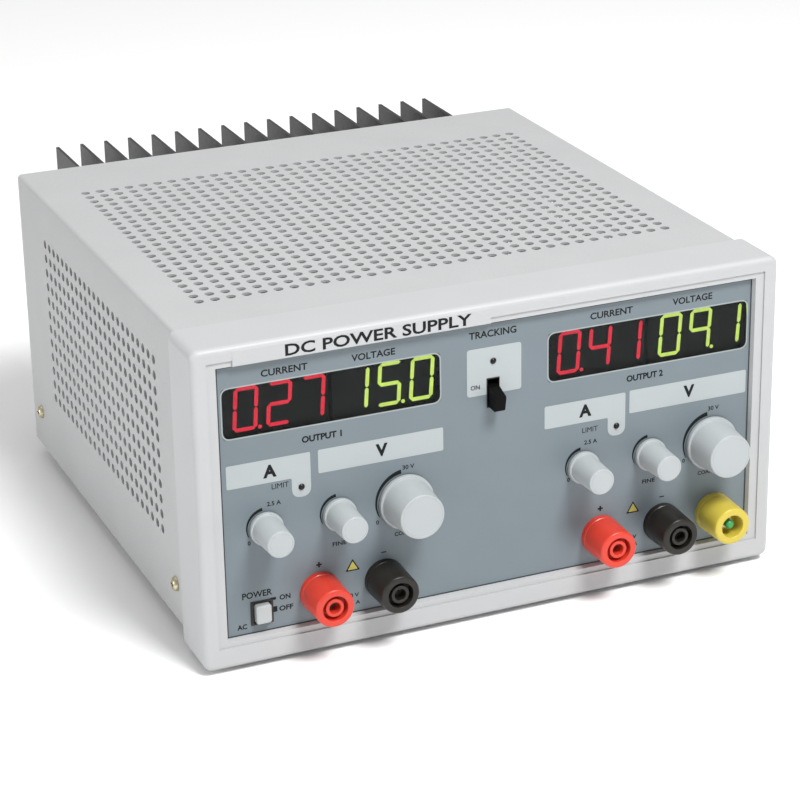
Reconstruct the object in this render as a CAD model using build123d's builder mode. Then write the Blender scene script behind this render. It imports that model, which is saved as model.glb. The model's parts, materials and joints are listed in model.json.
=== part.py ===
"""Dual-output bench power supply, as an assembly of separate pieces.

Frame: millimetres, +Z up, front towards -Y, X to the right as seen from the front.
The origin is the middle of the footprint, on the surface that the rubber feet stand on.
"""

from build123d import *
from math import cos, radians, sin
import os

# ---- driving dimensions ------------------------------------------------------------

BEZEL_W, BEZEL_H, BEZEL_D = 274.0, 146.0, 28.0
BEZEL_BOTTOM = 2.5
BEZEL_CORNER, BEZEL_ROUND = 4.0, 2.5
FRONT_Y = -148.0  # front plane of the bezel

CASE_W = 268.0
CASE_TOP = 147.0
CASE_BOTTOM = 7.5
CASE_BACK = FRONT_Y + 270.0
CASE_FRONT = FRONT_Y + 19.0
SHEET = 1.2
TRAY_SHEET = 1.5

OPENING_W, OPENING_BOTTOM, OPENING_TOP = 251.0, 15.5, 139.0
SHELF_X, SHELF_Z, SHELF_DEPTH = 4.8, 3.3, 0.7  # flat shelf round the opening
BEVEL_X, BEVEL_Z, BEVEL_DEPTH = 0.7, 0.6, 2.6  # slope from the shelf down towards the panel
RECESS = 3.0  # front panel behind the bezel's front plane
PANEL_T = 2.0
PANEL_W, PANEL_H = 258.0, 130.0
PANEL_Y = FRONT_Y + RECESS  # front face of the panel
PANEL_BACK = PANEL_Y + PANEL_T

HALF_SPACING = 74.5  # middle of each output's half of the panel
WINDOW_W, WINDOW_H, WINDOW_Z = 98.0, 22.4, 117.8
MODULE_W, MODULE_H, MODULE_D = 47.6, 25.0, 8.0
MODULE_X = 24.4  # middle of a digit module, from the middle of its window
MODULE_BACK = PANEL_BACK + 1.7 + MODULE_D
BOARD_MIDS = [(side * HALF_SPACING, WINDOW_Z - 1) for side in (-1, 1)]
BOARD_STUD_DX, BOARD_STUD_DZ, BOARD_STUD_R = 94.0, 35.0, 1.5

KNOB_Z = 63.8
KNOB_X = {"current": -32.0, "fine": 1.2, "voltage": 32.0}
SMALL_KNOB = dict(flange=7.5, root=6.7, tip=6.0, cavity=6.0)
LARGE_KNOB = dict(flange=12.5, root=11.5, tip=10.1, cavity=6.5)
KNOB_GAP = 0.6  # knob to panel
KNOB_LENGTH = 18.4
KNOB_FLANGE_T = 2.2
SHAFT_R = 3.0
RUNNING = 0.05  # radial clearance of a turning fit

POST_Z = 29.0
POSTS = {
    "red_1": -83.0, "black_1": -53.0,
    "red_2": 51.5, "black_2": 82.5, "earth": 108.9,
}
POST_R, POST_TIP_R = 9.2, 8.7
POST_BASE_T = 3.0
POST_FRONT = PANEL_Y - 18.6
STUD_FRONT = PANEL_Y - 12.0
SOCKET_R = 2.05
MOUTH_R = 2.6  # hole through the cap in front of a socket

LAMPS = [(-89.7, 79.4), (59.0, 80.3), (-0.7, 121.2)]
LAMP_R = 1.4

TRACK_X, TRACK_Z = -0.8, 106.7
TRACK_PIVOT_Y = PANEL_Y + 6.8
TRACK_TILT = 11.2
LEVER_W = 4.8
TRACK_SLOT_W, TRACK_SLOT_H = 5.4, 12.9

POWER_X, POWER_Z = -109.6, 24.9
BUTTON_W, BUTTON_H = 7.0, 8.6
BUTTON_OUT = 3.4
BUTTON_GAP = 0.3

SINK_W, SINK_BOTTOM, SINK_TOP = 208.0, 42.0, 145.4
SINK_BASE, SINK_D = 5.0, 42.0
FIN_COUNT, FIN_PITCH, FIN_T = 17, 12.7, 1.6

FEET = [(sx * 112.0, y) for sx in (-1, 1) for y in (FRONT_Y + 42, CASE_BACK - 22)]
FOOT_H = CASE_BOTTOM

CHASSIS_SCREW_R = 1.5
REAR_T, REAR_FLANGE = 1.5, 12.0
FLANGE_HALF = CASE_W / 2 - SHEET - 0.2 - TRAY_SHEET - 0.2
REAR_Y = CASE_BACK - 2.5  # front face of the rear panel
TRAY_TOP = CASE_BOTTOM + TRAY_SHEET
REAR_FLANGE_SCREWS = [(x, REAR_Y - 7.0) for x in (-100.0, 0.0, 76.0)]

CORE_W, CORE_H, CORE_T = 100.0, 84.0, 50.0  # transformer laminations
CORE_X, CORE_Y = -66.0, 42.0
CORE_SCREWS = [(CORE_X + sx * 45.0, CORE_Y + sy * 19.0) for sx in (-1, 1) for sy in (-1, 1)]

COVER_SCREWS = [(FRONT_Y + 44.0, 25.0), (CASE_BACK - 14.5, 26.5)]


os.makedirs("parts", exist_ok=True)


def save(builder, name):
    """Label a finished sub-part and write its file."""
    builder.part.label = name
    export_step(builder.part, f"parts/{name}.step")


def facing_front(y):
    """Sketch plane at depth y whose normal points out of the front, X to the right."""
    return Plane(origin=(0, y, 0), x_dir=(1, 0, 0), z_dir=(0, -1, 0))


def facing_back(y):
    """Sketch plane at depth y whose normal points to the rear; its local X is -X."""
    return Plane(origin=(0, y, 0), x_dir=(-1, 0, 0), z_dir=(0, 1, 0))


def turned_about(x, z):
    """Plane for a profile of (radius, depth) pairs revolved about a front-to-back axis."""
    return Plane(origin=(x, 0, z), x_dir=(1, 0, 0), z_dir=(0, 0, 1))


def turned(x, z, outline):
    """Solid of revolution about the line through (x, z) along Y, from (radius, y) pairs."""
    with BuildPart(mode=Mode.PRIVATE) as body:
        with BuildSketch(turned_about(x, z)):
            with BuildLine():
                Polyline(*outline, close=True)
            make_face()
        revolve(axis=Axis((x, 0, z), (0, 1, 0)), revolution_arc=360)
    return body.part


# ---- bezel and front panel -----------------------------------------------------------

opening_mid = (OPENING_BOTTOM + OPENING_TOP) / 2
opening_h = OPENING_TOP - OPENING_BOTTOM
bezel_mid = BEZEL_BOTTOM + BEZEL_H / 2

with BuildPart() as front_bezel:
    with BuildSketch(facing_front(FRONT_Y)):
        with Locations((0, bezel_mid)):
            RectangleRounded(BEZEL_W, BEZEL_H, BEZEL_CORNER)
    extrude(amount=-BEZEL_D)
    fillet(front_bezel.faces().sort_by(Axis.Y)[0].edges(), radius=BEZEL_ROUND)
    # pocket that takes the panel, then the wider seat that takes the case
    with BuildSketch(facing_front(PANEL_Y)):
        with Locations((0, opening_mid)):
            Rectangle(PANEL_W + 0.4, PANEL_H + 0.4)
    extrude(amount=-(CASE_FRONT - PANEL_Y - 1.0), mode=Mode.SUBTRACT)
    with BuildSketch(facing_front(CASE_FRONT - 1.0)):
        with Locations((0, (CASE_TOP + CASE_BOTTOM) / 2)):
            Rectangle(CASE_W + 0.4, CASE_TOP - CASE_BOTTOM + 0.4)
    extrude(amount=-(BEZEL_D - (CASE_FRONT - 1.0 - FRONT_Y)), mode=Mode.SUBTRACT)
    # opening with its shelf and bevel
    with BuildSketch(facing_front(FRONT_Y)):
        with Locations((0, opening_mid)):
            Rectangle(OPENING_W, opening_h)
    extrude(amount=-RECESS, mode=Mode.SUBTRACT)
    with BuildSketch(facing_front(FRONT_Y)):
        with Locations((0, opening_mid)):
            Rectangle(OPENING_W + 2 * SHELF_X, opening_h + 2 * SHELF_Z)
    extrude(amount=-SHELF_DEPTH, mode=Mode.SUBTRACT)
    with BuildSketch(facing_front(FRONT_Y + SHELF_DEPTH)):
        with Locations((0, opening_mid)):
            Rectangle(OPENING_W + 2 * BEVEL_X, opening_h + 2 * BEVEL_Z)
    with BuildSketch(facing_front(FRONT_Y + BEVEL_DEPTH)):
        with Locations((0, opening_mid)):
            Rectangle(OPENING_W, opening_h)
    loft(mode=Mode.SUBTRACT)
save(front_bezel, "front_bezel")

with BuildPart() as front_panel:
    with BuildSketch(facing_front(PANEL_Y)):
        with Locations((0, opening_mid)):
            Rectangle(PANEL_W, PANEL_H)
        for side in (-1, 1):
            with Locations((side * HALF_SPACING, WINDOW_Z)):
                RectangleRounded(WINDOW_W + 0.4, WINDOW_H + 0.4, 1.7, mode=Mode.SUBTRACT)
            for offset in KNOB_X.values():
                with Locations((side * HALF_SPACING + offset, KNOB_Z)):
                    Circle(3.6, mode=Mode.SUBTRACT)
        for post_x in POSTS.values():
            with Locations((post_x, POST_Z)):
                Circle(4.2, mode=Mode.SUBTRACT)
        with Locations(*LAMPS):
            Circle(LAMP_R + 0.1, mode=Mode.SUBTRACT)
        with Locations((TRACK_X, TRACK_Z)):
            Rectangle(TRACK_SLOT_W + 0.6, TRACK_SLOT_H + 0.6, mode=Mode.SUBTRACT)
        with Locations((POWER_X, POWER_Z)):
            Rectangle(BUTTON_W + 1.6, BUTTON_H + 1.6, mode=Mode.SUBTRACT)
    extrude(amount=-PANEL_T)
    # welded studs that carry the display boards
    with BuildSketch(facing_front(PANEL_BACK)):
        with Locations(*BOARD_MIDS):
            with GridLocations(BOARD_STUD_DX, BOARD_STUD_DZ, 2, 2):
                Circle(BOARD_STUD_R)
    extrude(amount=-(MODULE_BACK + 3.5 - PANEL_BACK))
save(front_panel, "front_panel")

# ---- displays ---------------------------------------------------------------------------

for number, side in ((1, -1), (2, 1)):
    mid_x = side * HALF_SPACING
    with BuildPart() as display_window:
        with BuildSketch(facing_front(PANEL_Y)):
            with Locations((mid_x, WINDOW_Z)):
                RectangleRounded(WINDOW_W, WINDOW_H, 1.5)
        extrude(amount=-PANEL_T)
        with BuildSketch(facing_front(PANEL_BACK)):
            with Locations((mid_x, WINDOW_Z)):
                Rectangle(WINDOW_W + 4, WINDOW_H + 4)
        extrude(amount=-1.5)
    save(display_window, f"display_window_{number}")

    for colour, half in (("red", -1), ("green", 1)):
        with BuildPart() as digit_module:
            with BuildSketch(facing_front(MODULE_BACK - MODULE_D)):
                with Locations((mid_x + half * MODULE_X, WINDOW_Z)):
                    Rectangle(MODULE_W, MODULE_H)
            extrude(amount=-MODULE_D)
            chamfer(digit_module.faces().sort_by(Axis.Y)[0].edges(), length=0.4)
        save(digit_module, f"{colour}_digits_{number}")

with BuildPart() as display_boards:
    with BuildSketch(facing_front(MODULE_BACK)):
        with Locations(*BOARD_MIDS):
            Rectangle(WINDOW_W + 4, BOARD_STUD_DZ + 7)
            with GridLocations(BOARD_STUD_DX, BOARD_STUD_DZ, 2, 2):
                Circle(BOARD_STUD_R + 0.1, mode=Mode.SUBTRACT)
    extrude(amount=-1.6)
save(display_boards, "display_boards")

# ---- knobs, shafts and potentiometers ------------------------------------------------

POT_BODY_R, POT_BODY_D = 8.4, 11.0
BUSHING_R, BUSHING_FRONT = 3.5, PANEL_Y - 3.6
SHAFT_BACK, SHAFT_TIP = PANEL_BACK + 8.0, PANEL_Y - KNOB_GAP - 13.0
NUT_ACROSS_FLATS, NUT_T = 10.0, 2.0

knob_places = []
for number, side in ((1, -1), (2, 1)):
    for use, offset in KNOB_X.items():
        knob_places.append((f"{use}_knob_{number}", use, side * HALF_SPACING + offset))

for name, use, knob_x in knob_places:
    size = LARGE_KNOB if use == "voltage" else SMALL_KNOB
    back = PANEL_Y - KNOB_GAP
    front = back - KNOB_LENGTH
    flange_front = back - KNOB_FLANGE_T
    with BuildPart() as knob:
        add(turned(knob_x, KNOB_Z, [
            (0, back), (size["flange"], back), (size["flange"], flange_front),
            (size["root"], flange_front), (size["tip"], front), (0, front),
        ]))
        fillet(knob.faces().sort_by(Axis.Y)[0].edges(), radius=0.7)
        rim = knob.edges().filter_by(GeomType.CIRCLE).group_by(SortBy.RADIUS)[-1]
        fillet(rim.sort_by(Axis.Y)[0], radius=0.7)
        with BuildSketch(facing_back(back)):
            with Locations((-knob_x, KNOB_Z)):
                Circle(size["cavity"])
        extrude(amount=-4.0, mode=Mode.SUBTRACT)
        with BuildSketch(facing_back(back)):
            with Locations((-knob_x, KNOB_Z)):
                Circle(SHAFT_R + 0.02)
        extrude(amount=-13.4, mode=Mode.SUBTRACT)
    save(knob, name)

    with BuildPart() as shaft:
        add(turned(knob_x, KNOB_Z, [
            (0, SHAFT_BACK), (SHAFT_R, SHAFT_BACK), (SHAFT_R, SHAFT_TIP + 0.4),
            (SHAFT_R - 0.4, SHAFT_TIP), (0, SHAFT_TIP),
        ]))
    save(shaft, name.replace("knob", "shaft"))

with BuildPart() as potentiometers:
    for _, _, knob_x in knob_places:
        bore = SHAFT_R + RUNNING
        pocket = SHAFT_BACK + 0.5
        add(turned(knob_x, KNOB_Z, [
            (bore, pocket), (bore, BUSHING_FRONT), (BUSHING_R, BUSHING_FRONT),
            (BUSHING_R, PANEL_BACK), (POT_BODY_R, PANEL_BACK),
            (POT_BODY_R, PANEL_BACK + POT_BODY_D), (0, PANEL_BACK + POT_BODY_D), (0, pocket),
        ]))
        # solder tags, hanging under the body
        with BuildSketch(Plane.XY.offset(KNOB_Z - 6.0)):
            with Locations((knob_x, PANEL_BACK + 5)):
                with GridLocations(5, 0, 3, 1):
                    Rectangle(1.6, 0.8)
        extrude(amount=-7.5)
save(potentiometers, "potentiometers")

with BuildPart() as potentiometer_nuts:
    with BuildSketch(facing_front(PANEL_Y)):
        for _, _, knob_x in knob_places:
            with Locations((knob_x, KNOB_Z)):
                RegularPolygon(NUT_ACROSS_FLATS / 2, 6, major_radius=False)
                Circle(BUSHING_R + 0.02, mode=Mode.SUBTRACT)
    extrude(amount=NUT_T)
save(potentiometer_nuts, "potentiometer_nuts")

# ---- binding posts ----------------------------------------------------------------------

POST_BASE_FRONT = PANEL_Y - POST_BASE_T
CAP_BACK = POST_BASE_FRONT - 0.3
STUD_R = 3.0
STUD_BACK = PANEL_BACK + 20.0
RING_R, SHROUD_R, SHROUD_DEPTH = 4.1, 5.7, 5.0
EARTH_BORE_R, EARTH_BORE_DEPTH = 5.3, 8.0

for name, post_x in POSTS.items():
    with BuildPart() as post_cap:
        bore = STUD_R + RUNNING
        if name == "earth":
            bore_end = POST_FRONT + EARTH_BORE_DEPTH
            mouth = [(bore, bore_end), (EARTH_BORE_R, bore_end), (EARTH_BORE_R, POST_FRONT)]
        else:
            ring_front = POST_FRONT + 0.8
            mouth = [(bore, STUD_FRONT - 0.3), (MOUTH_R, STUD_FRONT - 0.3),
                     (MOUTH_R, ring_front), (RING_R, ring_front),
                     (RING_R, POST_FRONT + SHROUD_DEPTH), (SHROUD_R, POST_FRONT + SHROUD_DEPTH),
                     (SHROUD_R, POST_FRONT)]
        add(turned(post_x, POST_Z, [(bore, CAP_BACK)] + mouth + [
            (POST_TIP_R - 0.8, POST_FRONT), (POST_TIP_R, POST_FRONT + 0.8),
            (POST_R, CAP_BACK - 0.4), (POST_R - 0.4, CAP_BACK),
        ]))
    save(post_cap, f"post_cap_{name}")

for colour in ("red", "black", "earth"):
    with BuildPart() as post_bases:
        for name, post_x in POSTS.items():
            if name.startswith(colour):
                bore = STUD_R + 0.02
                add(turned(post_x, POST_Z, [
                    (bore, PANEL_BACK + 1.5), (bore, POST_BASE_FRONT),
                    (POST_R - 0.3, POST_BASE_FRONT), (POST_R, POST_BASE_FRONT + 0.3),
                    (POST_R, PANEL_Y), (4.1, PANEL_Y), (4.1, PANEL_BACK + 1.5),
                ]))
    save(post_bases, f"post_bases_{colour}")

with BuildPart() as post_studs:
    for name, post_x in POSTS.items():
        add(turned(post_x, POST_Z, [
            (0, STUD_BACK), (STUD_R - 0.4, STUD_BACK), (STUD_R, STUD_BACK - 0.4),
            (STUD_R, STUD_FRONT), (SOCKET_R, STUD_FRONT), (SOCKET_R, STUD_FRONT + 14),
            (0, STUD_FRONT + 14),
        ]))
save(post_studs, "post_studs")

with BuildPart() as post_fixings:
    # an insulating washer and a nut behind the panel for each post
    with BuildSketch(facing_back(PANEL_BACK)):
        for post_x in POSTS.values():
            with Locations((-post_x, POST_Z)):
                Circle(7.5)
                Circle(4.15, mode=Mode.SUBTRACT)
    extrude(amount=1.5)
    with BuildSketch(facing_back(PANEL_BACK + 2.0)):
        for post_x in POSTS.values():
            with Locations((-post_x, POST_Z)):
                RegularPolygon(5.0, 6, major_radius=False)
                Circle(STUD_R + 0.02, mode=Mode.SUBTRACT)
    extrude(amount=4.5)
save(post_fixings, "post_fixings")

with BuildPart() as earth_contact:
    add(turned(POSTS["earth"], POST_Z, [
        (0, STUD_FRONT + 6), (SOCKET_R - 0.03, STUD_FRONT + 6), (SOCKET_R - 0.03, STUD_FRONT - 4.0),
        (SOCKET_R - 0.8, STUD_FRONT - 4.8), (0, STUD_FRONT - 4.8),
    ]))
save(earth_contact, "earth_contact")

# ---- lamps and switches -------------------------------------------------------------------

with BuildPart() as indicator_lamps:
    for lamp_x, lamp_z in LAMPS:
        add(turned(lamp_x, lamp_z, [
            (0, PANEL_BACK + 5), (LAMP_R + 0.5, PANEL_BACK + 5), (LAMP_R + 0.5, PANEL_BACK + 0.1),
            (LAMP_R, PANEL_BACK + 0.1), (LAMP_R, PANEL_Y - 0.3), (LAMP_R - 0.6, PANEL_Y - 0.9),
            (0, PANEL_Y - 1.1),
        ]))
save(indicator_lamps, "indicator_lamps")

tilt = radians(-TRACK_TILT)


def lever_point(forward, up):
    """Point of the tilted lever's profile, in (y, z) of the assembly."""
    y = forward * cos(tilt) - up * sin(tilt)
    z = forward * sin(tilt) + up * cos(tilt)
    return (TRACK_PIVOT_Y - y, TRACK_Z + z)


TRUNNION_R = 1.2
SWITCH_W = 9.0

with BuildPart() as tracking_lever:
    with BuildSketch(Plane(origin=(TRACK_X - LEVER_W / 2, 0, 0), x_dir=(0, 1, 0), z_dir=(1, 0, 0))):
        with BuildLine():
            outline = [(-2.5, 2.6), (4.5, 4.5), (7.2, 4.7), (14.4, 3.6), (14.9, 3.0),
                       (14.9, -3.0), (14.4, -3.6), (7.2, -4.7), (4.5, -4.5), (-2.5, -2.6)]
            Polyline(*[lever_point(*point) for point in outline], close=True)
        make_face()
    extrude(amount=LEVER_W)
    with BuildSketch(Plane(origin=(TRACK_X - SWITCH_W / 2, 0, 0), x_dir=(0, 1, 0), z_dir=(1, 0, 0))):
        with Locations((TRACK_PIVOT_Y, TRACK_Z)):
            Circle(TRUNNION_R)
    extrude(amount=SWITCH_W)
save(tracking_lever, "tracking_lever")

with BuildPart() as tracking_switch:
    with BuildSketch(facing_front(PANEL_BACK)):
        with Locations((TRACK_X, TRACK_Z)):
            Rectangle(SWITCH_W, 18)
    extrude(amount=-12.5)
    with BuildSketch(facing_front(PANEL_BACK)):
        with Locations((TRACK_X, TRACK_Z)):
            Rectangle(TRACK_SLOT_W + 0.5, TRACK_SLOT_H + 0.5)
    extrude(amount=PANEL_T + 0.4)
    with BuildSketch(facing_front(PANEL_Y - 0.4)):
        with Locations((TRACK_X, TRACK_Z)):
            Rectangle(TRACK_SLOT_W, TRACK_SLOT_H)
    extrude(amount=-(PANEL_T + 0.4 + 10.5), mode=Mode.SUBTRACT)
    with BuildSketch(Plane(origin=(TRACK_X - SWITCH_W / 2, 0, 0), x_dir=(0, 1, 0), z_dir=(1, 0, 0))):
        with Locations((TRACK_PIVOT_Y, TRACK_Z)):
            Circle(TRUNNION_R + RUNNING)
    extrude(amount=SWITCH_W, mode=Mode.SUBTRACT)
    with BuildSketch(facing_back(PANEL_BACK + 12.5)):
        with Locations((-TRACK_X, TRACK_Z)):
            with GridLocations(0, 5, 1, 3):
                Rectangle(2.0, 0.8)
    extrude(amount=4.5)
save(tracking_switch, "tracking_switch")

BUTTON_BACK = PANEL_BACK + 9.0
SWITCH_BODY_D = 24.0

with BuildPart() as power_button:
    with BuildSketch(facing_front(PANEL_Y - BUTTON_OUT)):
        with Locations((POWER_X, POWER_Z)):
            RectangleRounded(BUTTON_W, BUTTON_H, 1.2)
    extrude(amount=-(BUTTON_BACK - PANEL_Y + BUTTON_OUT))
    fillet(power_button.faces().sort_by(Axis.Y)[0].edges(), radius=0.8)
save(power_button, "power_button")

with BuildPart() as power_switch:
    with BuildSketch(facing_front(PANEL_BACK)):
        with Locations((POWER_X, POWER_Z)):
            Rectangle(14, 16)
    extrude(amount=-SWITCH_BODY_D)
    with BuildSketch(facing_front(PANEL_BACK)):
        with Locations((POWER_X, POWER_Z)):
            Rectangle(BUTTON_W + 1.4, BUTTON_H + 1.4)
    extrude(amount=PANEL_T)
    with BuildSketch(facing_front(PANEL_Y)):
        with Locations((POWER_X, POWER_Z)):
            Rectangle(BUTTON_W + 3.0, BUTTON_H + 2.2)
    extrude(amount=0.7)
    with BuildSketch(facing_front(PANEL_Y - 0.7)):
        with Locations((POWER_X, POWER_Z)):
            Rectangle(BUTTON_W + 2 * BUTTON_GAP, BUTTON_H + 2 * BUTTON_GAP)
    extrude(amount=-(0.7 + BUTTON_BACK - PANEL_Y + 4.2), mode=Mode.SUBTRACT)
    with BuildSketch(facing_back(PANEL_BACK + SWITCH_BODY_D)):
        with Locations((-POWER_X, POWER_Z)):
            with GridLocations(7, 8, 2, 2):
                Rectangle(4.8, 0.8)
    extrude(amount=8)
save(power_switch, "power_switch")

# ---- case -----------------------------------------------------------------------------------

SCREW_R, SCREW_HEAD_R, SCREW_HEAD_T = 1.75, 3.4, 2.2
case_length = CASE_BACK - CASE_FRONT

with BuildPart() as cover:
    with BuildSketch(facing_front(CASE_FRONT)):
        with Locations((0, (CASE_TOP + CASE_BOTTOM) / 2)):
            Rectangle(CASE_W, CASE_TOP - CASE_BOTTOM)
        fillet(vertices().group_by(Axis.Y)[-1], 2.0)
        with Locations((0, (CASE_TOP + CASE_BOTTOM) / 2 - SHEET)):
            Rectangle(CASE_W - 2 * SHEET, CASE_TOP - CASE_BOTTOM, mode=Mode.SUBTRACT)
    extrude(amount=-case_length)
    with BuildSketch(Plane.YZ.offset(-CASE_W / 2)):
        with Locations(*COVER_SCREWS):
            Circle(SCREW_R + 0.15)
    extrude(amount=CASE_W, mode=Mode.SUBTRACT)
save(cover, "cover")

FLANGE_H = 26.0
tray_half = CASE_W / 2 - SHEET - 0.2

with BuildPart() as chassis_tray:
    with BuildSketch(facing_front(CASE_FRONT + 1)):
        with Locations((0, CASE_BOTTOM)):
            Rectangle(2 * tray_half, FLANGE_H, align=(Align.CENTER, Align.MIN))
        with Locations((0, TRAY_TOP)):
            Rectangle(2 * (tray_half - TRAY_SHEET), FLANGE_H, align=(Align.CENTER, Align.MIN),
                      mode=Mode.SUBTRACT)
    extrude(amount=-(REAR_Y - CASE_FRONT - 1.2))
    with BuildSketch(Plane.XY.offset(CASE_BOTTOM)):
        with Locations(*FEET):
            Circle(2.1)
        with Locations(*CORE_SCREWS, *REAR_FLANGE_SCREWS):
            Circle(CHASSIS_SCREW_R + 0.1)
    extrude(amount=TRAY_SHEET, mode=Mode.SUBTRACT)
    with BuildSketch(Plane.YZ.offset(-CASE_W / 2)):
        with Locations(*COVER_SCREWS):
            Circle(SCREW_R + 0.02)
    extrude(amount=CASE_W, mode=Mode.SUBTRACT)
save(chassis_tray, "chassis_tray")

with BuildPart() as cover_screws:
    for side in (-1, 1):
        outer = side * CASE_W / 2
        with BuildSketch(Plane.YZ.offset(outer)):
            with Locations(*COVER_SCREWS):
                Circle(SCREW_HEAD_R)
        extrude(amount=side * SCREW_HEAD_T)
        with BuildSketch(Plane.YZ.offset(outer)):
            with Locations(*COVER_SCREWS):
                Circle(SCREW_R)
        extrude(amount=-side * 6)
    heads = cover_screws.edges().filter_by(GeomType.CIRCLE).group_by(SortBy.RADIUS)[-1]
    fillet(heads.group_by(Axis.X)[0] + heads.group_by(Axis.X)[-1], radius=1.2)
save(cover_screws, "cover_screws")

with BuildPart() as chassis_screws:
    with BuildSketch(Plane.XY.offset(CASE_BOTTOM)):
        with Locations(*CORE_SCREWS, *REAR_FLANGE_SCREWS):
            Circle(2.8)
    extrude(amount=-1.9)
    with BuildSketch(Plane.XY.offset(CASE_BOTTOM)):
        with Locations(*CORE_SCREWS, *REAR_FLANGE_SCREWS):
            Circle(CHASSIS_SCREW_R)
    extrude(amount=7)
save(chassis_screws, "chassis_screws")

# ---- rear panel and what it carries ------------------------------------------------------

INLET_X, INLET_Z = 96.0, 25.5
FUSE_X, FUSE_Z = 58.0, 25.5
SINK_SCREWS = [(sx * 98.0, z) for sx in (-1, 1) for z in (52.0, 136.0)]

with BuildPart() as rear_panel:
    with BuildSketch(facing_front(REAR_Y)):
        with Locations((0, TRAY_TOP)):
            Rectangle(2 * FLANGE_HALF, CASE_TOP - SHEET - 0.3 - TRAY_TOP, align=(Align.CENTER, Align.MIN))
        with Locations((INLET_X, INLET_Z)):
            Rectangle(28.2, 21.0, mode=Mode.SUBTRACT)
        with Locations((INLET_X - 20, INLET_Z), (INLET_X + 20, INLET_Z)):
            Circle(1.6, mode=Mode.SUBTRACT)
        with Locations((FUSE_X, FUSE_Z)):
            Circle(6.2, mode=Mode.SUBTRACT)
        with Locations((0, 96)):
            Rectangle(176, 40, mode=Mode.SUBTRACT)
        with Locations(*SINK_SCREWS):
            Circle(1.6, mode=Mode.SUBTRACT)
    extrude(amount=-REAR_T)
    # flange that stands on the tray
    with BuildSketch(Plane.XY.offset(TRAY_TOP)):
        with Locations((0, REAR_Y + REAR_T)):
            Rectangle(2 * FLANGE_HALF, REAR_FLANGE + REAR_T, align=(Align.CENTER, Align.MAX))
        with Locations(*REAR_FLANGE_SCREWS):
            Circle(CHASSIS_SCREW_R + 0.02, mode=Mode.SUBTRACT)
    extrude(amount=REAR_T)
save(rear_panel, "rear_panel")

REAR_FACE = REAR_Y + REAR_T

with BuildPart() as heat_sink:
    with BuildSketch(Plane.XY.offset(SINK_BOTTOM)):
        with Locations((0, REAR_FACE)):
            Rectangle(SINK_W, SINK_BASE, align=(Align.CENTER, Align.MIN))
        with Locations((0, REAR_FACE + SINK_BASE - 0.01)):
            with GridLocations(FIN_PITCH, 0, FIN_COUNT, 1):
                Rectangle(FIN_T, SINK_D + CASE_BACK - REAR_FACE - SINK_BASE + 0.01,
                          align=(Align.CENTER, Align.MIN))
    extrude(amount=SINK_TOP - SINK_BOTTOM)
    with BuildSketch(facing_front(REAR_FACE)):
        with Locations(*SINK_SCREWS):
            Circle(1.45)
    extrude(amount=-4, mode=Mode.SUBTRACT)
save(heat_sink, "heat_sink")

with BuildPart() as sink_screws:
    with BuildSketch(facing_back(REAR_Y)):
        with Locations(*SINK_SCREWS):
            Circle(2.8)
    extrude(amount=-2.0)
    with BuildSketch(facing_back(REAR_Y)):
        with Locations(*SINK_SCREWS):
            Circle(1.4)
    extrude(amount=REAR_T + 3.5)
save(sink_screws, "sink_screws")

with BuildPart() as power_transistors:
    for index in range(4):
        package_x = -66.0 + 44.0 * index
        with BuildSketch(facing_front(REAR_FACE)):
            with Locations((package_x, 96)):
                Rectangle(16, 20)
        extrude(amount=5.0)
        with BuildSketch(Plane.XY.offset(86)):
            with Locations((package_x, REAR_FACE - 2.5)):
                with GridLocations(5.4, 0, 3, 1):
                    Rectangle(1.2, 0.6)
        extrude(amount=-12)
save(power_transistors, "power_transistors")

INLET_DEPTH = 16.0
PIN_W, PIN_T = 2.0, 4.0

with BuildPart() as mains_inlet:
    with BuildSketch(facing_back(REAR_FACE)):
        with Locations((-INLET_X, INLET_Z)):
            RectangleRounded(49, 23, 3)
    extrude(amount=2.5)
    with BuildSketch(facing_back(REAR_FACE)):
        with Locations((-INLET_X, INLET_Z)):
            Rectangle(27.6, 20.4)
    extrude(amount=-18)
    with BuildSketch(facing_back(REAR_FACE + 2.5)):
        with BuildLine():
            corners = [(-12.3, -8.4), (12.3, -8.4), (12.3, 4.4), (8.3, 8.4), (-8.3, 8.4), (-12.3, 4.4)]
            Polyline(*[(x - INLET_X, z + INLET_Z) for x, z in corners], close=True)
        make_face()
    extrude(amount=-INLET_DEPTH, mode=Mode.SUBTRACT)
    with BuildSketch(facing_back(REAR_FACE)):
        with Locations((-INLET_X - 20, INLET_Z), (-INLET_X + 20, INLET_Z)):
            Circle(1.6)
    extrude(amount=2.5, mode=Mode.SUBTRACT)
save(mains_inlet, "mains_inlet")

with BuildPart() as inlet_pins:
    with BuildSketch(facing_back(REAR_FACE + 2.5 - INLET_DEPTH)):
        with Locations((-INLET_X - 7, INLET_Z - 1), (-INLET_X, INLET_Z + 2), (-INLET_X + 7, INLET_Z - 1)):
            Rectangle(PIN_W, PIN_T)
    extrude(amount=INLET_DEPTH - 2)
save(inlet_pins, "inlet_pins")

with BuildPart() as inlet_screws:
    for screw_x in (INLET_X - 20, INLET_X + 20):
        add(turned(screw_x, INLET_Z, [
            (0, REAR_FACE + 4.4), (1.6, REAR_FACE + 4.4), (2.8, REAR_FACE + 2.5),
            (1.5, REAR_FACE + 2.5), (1.5, REAR_Y - 4), (0, REAR_Y - 4),
        ]))
save(inlet_screws, "inlet_screws")

with BuildPart() as fuse_holder:
    add(turned(FUSE_X, FUSE_Z, [
        (5.05, REAR_FACE + 3), (8.0, REAR_FACE + 3), (8.5, REAR_FACE + 2.4), (8.5, REAR_FACE),
        (6.1, REAR_FACE), (6.1, REAR_FACE - 30), (0, REAR_FACE - 30), (0, REAR_FACE - 28),
        (5.05, REAR_FACE - 28),
    ]))
save(fuse_holder, "fuse_holder")

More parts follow.
